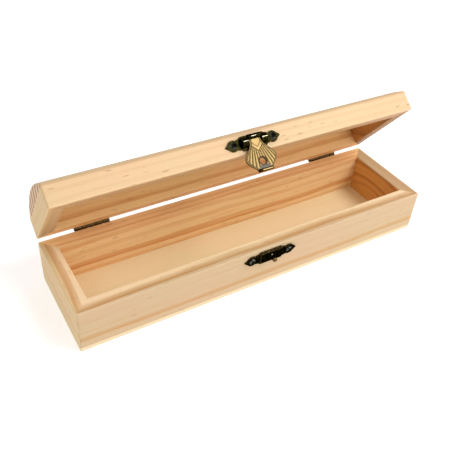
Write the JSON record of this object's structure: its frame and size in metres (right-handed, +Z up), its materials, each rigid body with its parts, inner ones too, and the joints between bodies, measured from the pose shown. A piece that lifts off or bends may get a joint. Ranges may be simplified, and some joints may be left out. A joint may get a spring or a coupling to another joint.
{
  "type": "hinged wooden box",
  "caption": "Long narrow pine box with mitred walls, a shallow domed lid on butt hinges, and a shell-shaped hasp that drops over a post.",
  "frame": {"origin": "middle of the tray's underside", "axes": "+X along the length, +Y towards the hinges at the back, +Z up out of the tray"},
  "size_m": [0.205, 0.0687, 0.0769],
  "materials": {
    "pine": "bare planed pine",
    "pine_panel": "bare pale panel",
    "hinge_bronze": "antiqued dark bronze plate",
    "hasp_bronze": "blackened bronze plate",
    "flap_brass": "antiqued yellow brass",
    "post_bronze": "antiqued bronze, polished at the tip",
    "screw_bronze": "antiqued bronze"
  },
  "bodies": {
    "tray": {"tray_front_board": "pine", "tray_back_board": "pine", "tray_left_board": "pine", "tray_right_board": "pine", "tray_bottom_panel": "pine_panel", "left_hinge_lower_leaf": "hinge_bronze", "left_hinge_pin": "hinge_bronze", "left_hinge_lower_left_screw": "screw_bronze", "left_hinge_lower_right_screw": "screw_bronze", "right_hinge_lower_leaf": "hinge_bronze", "right_hinge_pin": "hinge_bronze", "right_hinge_lower_left_screw": "screw_bronze", "right_hinge_lower_right_screw": "screw_bronze", "catch_plate": "hasp_bronze", "catch_post": "post_bronze", "catch_left_screw": "screw_bronze", "catch_right_screw": "screw_bronze"},
    "lid": {"lid_front_board": "pine", "lid_back_board": "pine", "lid_left_board": "pine", "lid_right_board": "pine", "lid_top_panel": "pine", "left_hinge_upper_leaf": "hinge_bronze", "left_hinge_upper_left_screw": "screw_bronze", "left_hinge_upper_right_screw": "screw_bronze", "right_hinge_upper_leaf": "hinge_bronze", "right_hinge_upper_left_screw": "screw_bronze", "right_hinge_upper_right_screw": "screw_bronze", "hasp_plate": "hasp_bronze", "hasp_hinge_pin": "hasp_bronze", "hasp_left_screw": "screw_bronze", "hasp_right_screw": "screw_bronze"},
    "hasp_flap": {"hasp_flap": "flap_brass"}
  },
  "joints": [
    {"name": "lid_hinge", "type": "hinge", "parent": "tray", "child": "lid", "pos_m": [0, 0.0287, 0.0252], "axis": [-1, 0, 0], "range_deg": [-52, 128]},
    {"name": "flap_hinge", "type": "hinge", "parent": "lid", "child": "hasp_flap", "pos_m": [0, -0.00134, 0.07534], "axis": [-1, 0, 0], "range_deg": [0, 160]}
  ]
}
